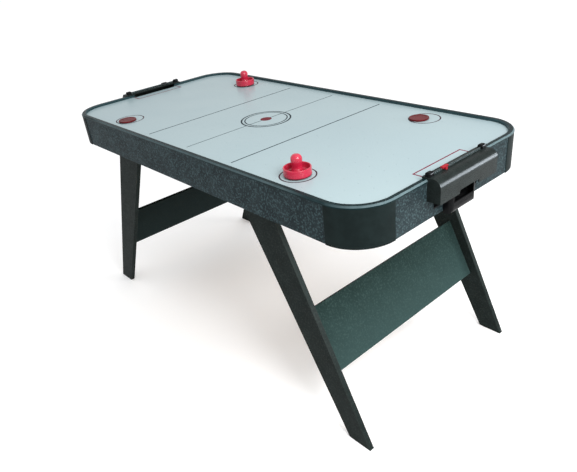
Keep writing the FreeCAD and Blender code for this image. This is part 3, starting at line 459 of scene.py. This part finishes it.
# ---------------------------------------------------------------------------
# Markings printed on the playing surface
# ---------------------------------------------------------------------------
FIELD_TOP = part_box("playfield")[1].z
RAIL_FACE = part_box("end_rail_right_front")[0].x
INK = 0.12 * MM             # thickness
LINE = 2.2 * MM             # half widths of the lines
MIDDLE_LINE = 1.5 * MM
CREASE_LINE = 2.2 * MM
LINE_REACH = 325 * MM
ZONE_AT = 231 * MM
CIRCLE_OUT = 87.5 * MM
CIRCLE_BAND = 5.5 * MM
CIRCLE_IN = 71 * MM
CIRCLE_THIN = 4 * MM
SPOT = 19.5 * MM
RING_AT = Vector((458, 275)) * MM
RING_OUT = 51.5 * MM
RING_BAND = 4 * MM
CREASE_AT = 700 * MM
CREASE_HALF = 105 * MM


def marking(name, loops, material):
    """One printed marking made of plates and flat rings, given as (outer, inner) loops."""
    mesh = bmesh.new()
    for outer, inner in loops:
        slab(mesh, outer, inner, FIELD_TOP, FIELD_TOP + INK)
    bmesh.ops.recalc_face_normals(mesh, faces=mesh.faces)
    return piece(name, mesh, material)


def ring(centre, outer, inner):
    return circle(centre, outer), circle(centre, inner)


def crease_loops(end):
    """Box in front of a goal: one line across the table and two lines back to the rail."""
    front = end * CREASE_AT
    yield oblong(front - CREASE_LINE, front + CREASE_LINE, -CREASE_HALF, CREASE_HALF), None
    span = sorted((end * (CREASE_AT + CREASE_LINE), end * RAIL_FACE))
    for side in (-1, 1):
        edge = side * CREASE_HALF
        yield oblong(*span, *sorted((edge, edge - side * 2 * CREASE_LINE))), None


marking("print_zone_lines", [
    (oblong(x - LINE, x + LINE, -LINE_REACH, LINE_REACH), None)
    for x in (-ZONE_AT, ZONE_AT)
], INK_DARK)
MIDDLE_SPANS = (
    (-LINE_REACH, -CIRCLE_OUT),
    (-CIRCLE_IN, -SPOT),
    (SPOT, CIRCLE_IN),
    (CIRCLE_OUT, LINE_REACH),
)
marking("print_middle_line", [
    (oblong(-MIDDLE_LINE, MIDDLE_LINE, *span), None)
    for span in MIDDLE_SPANS
], INK_DARK)
MIDDLE = (0, 0)
marking("print_centre_circle", [
    ring(MIDDLE, CIRCLE_OUT, CIRCLE_OUT - CIRCLE_BAND),
    ring(MIDDLE, CIRCLE_IN + CIRCLE_THIN, CIRCLE_IN),
], INK_NAVY)
marking("print_centre_spot", [(circle(MIDDLE, SPOT), None)], INK_MAROON)
marking("print_face_off_rings", [
    ring((x, y), RING_OUT, RING_OUT - RING_BAND)
    for x in (-RING_AT.x, RING_AT.x)
    for y in (-RING_AT.y, RING_AT.y)
], INK_PLUM)
marking("print_goal_creases", [
    *crease_loops(-1),
    *crease_loops(1),
], INK_CRIMSON)


# ---------------------------------------------------------------------------
# Score strips: tick marks on both faces
# ---------------------------------------------------------------------------
TICK_PROUD = 0.15 * MM
TICK_PITCH = 8.8 * MM
TICK_HALF = 0.6 * MM
TICK_TALL = 3.2 * MM
TICK_EDGE = 0.8 * MM
TICKS_EACH_WAY = 11
for end_name in ENDS:
    low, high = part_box("score_strip_%s" % end_name)
    tick_top = high.z - TICK_EDGE
    mesh = bmesh.new()
    for step in range(-TICKS_EACH_WAY, TICKS_EACH_WAY + 1):
        at = step * TICK_PITCH
        for face in (low.x, high.x):
            outline = oblong(face - TICK_PROUD, face + TICK_PROUD, at - TICK_HALF, at + TICK_HALF)
            slab(mesh, outline, None, tick_top - TICK_TALL, tick_top)
    bmesh.ops.recalc_face_normals(mesh, faces=mesh.faces)
    piece("score_ticks_%s" % end_name, mesh, TICK_WHITE)


# ---------------------------------------------------------------------------
# Floor and light
# ---------------------------------------------------------------------------
FLOOR_REACH = 60
FLOOR_SIDES = 64
FLOOR_THICK = 20 * MM
floor_mesh = bmesh.new()
slab(floor_mesh, circle((0, 0), FLOOR_REACH, FLOOR_SIDES), None, -FLOOR_THICK, 0)
floor_data = bpy.data.meshes.new("floor")
floor_mesh.to_mesh(floor_data)
floor_mesh.free()
floor = bpy.data.objects.new("floor", floor_data)
SCENE.collection.objects.link(floor)
floor_paint = Paint("floor_paint", Emission_Color=(1, 1, 1, 1), Emission_Strength=0.15)
floor_colour = floor_paint.mix(floor_paint.noise(0.6), tone(250, 250, 250), tone(247, 247, 247))
floor_grain = floor_paint.bump(floor_paint.noise(10 * MM), 0.02, 1 * MM)
floor_data.materials.append(floor_paint.done(floor_colour, 0.9, floor_grain))

world = bpy.data.worlds.new("studio")
world.use_nodes = True
backdrop = world.node_tree.nodes["Background"].inputs
backdrop["Color"].default_value = (0.98, 0.99, 1.0, 1)
backdrop["Strength"].default_value = 0.8
SCENE.world = world


def light(name, kind, energy, place):
    data = bpy.data.lights.new(name, kind)
    data.energy = energy
    lamp = bpy.data.objects.new(name, data)
    SCENE.collection.objects.link(lamp)
    lamp.matrix_world = place
    return lamp


def softbox(name, spot, target, size, watts, matt=True, gloss=True, colour=(1, 1, 1)):
    """Rectangular lamp at a spot, turned to a target, for matt or glossy light or both."""
    aim = (Vector(target) - Vector(spot)).to_track_quat("-Z", "Y").to_matrix().to_4x4()
    lamp = light(name, "AREA", watts, Matrix.Translation(spot) @ aim)
    lamp.data.shape = "RECTANGLE"
    lamp.data.size, lamp.data.size_y = size
    lamp.data.color = colour
    lamp.visible_camera = False
    lamp.visible_diffuse = matt
    lamp.visible_glossy = gloss
    return lamp


softbox("key", spot=(2.1, -0.5, 1.95), target=(0.6, 0, 0.6), size=(1.1, 1.1), watts=48)
softbox("back", spot=(2.75, 2.5, 1.1), target=(0.8, 0, 0.74), size=(1.2, 0.5), watts=50, gloss=False)

# the streak along the goal housings: a lamp for their gloss alone, so that the field has no glare
glint = softbox(
    "glint", spot=(2.75, 2.5, 1.05), target=(0.8, 0, 0.74), size=(1.2, 1.3), watts=260,
    matt=False, colour=(0.84, 0.92, 1.0))
housings = bpy.data.collections.new("housings")
for end_name in ENDS:
    housings.objects.link(NODES["goal_housing_%s" % end_name])
glint.light_linking.receiver_collection = housings

softbox("left", spot=(-3.2, -1.6, 2.6), target=(0, -0.3, 0.76), size=(1.6, 0.9), watts=0.6)
SKY = Vector((0.3, 0.2, 1))
overhead = light("overhead", "SUN", 0.5, SKY.to_track_quat("Z", "Y").to_matrix().to_4x4())
overhead.data.angle = math.radians(60)


# ---------------------------------------------------------------------------
# Camera
# ---------------------------------------------------------------------------
CAMERA_SPOT = Vector((1.512149, -1.180362, 1.328283))
AZIMUTH, ELEVATION, ROLL = (math.radians(angle) for angle in (49.855, 30.006, -6.018))
SENSOR = 36            # sensor and lens in mm, shift in sensor widths
LENS = 35.3673
SHIFT = (-0.02197, 0.02543)

level_share = math.cos(ELEVATION)
look = Vector((
    -math.sin(AZIMUTH) * level_share,
    math.cos(AZIMUTH) * level_share,
    -math.sin(ELEVATION),
))
level = look.cross(Vector((0, 0, 1))).normalized()
upright = level.cross(look)
right = level * math.cos(ROLL) + upright * math.sin(ROLL)
up = upright * math.cos(ROLL) - level * math.sin(ROLL)
camera_data = bpy.data.cameras.new("camera")
camera_data.sensor_width = SENSOR
camera_data.lens = LENS
camera_data.shift_x, camera_data.shift_y = SHIFT
camera = bpy.data.objects.new("camera", camera_data)
SCENE.collection.objects.link(camera)
turn = Matrix((right, up, -look)).transposed().to_4x4()
camera.matrix_world = Matrix.Translation(CAMERA_SPOT) @ turn
SCENE.camera = camera
SCENE.view_settings.view_transform = "Standard"
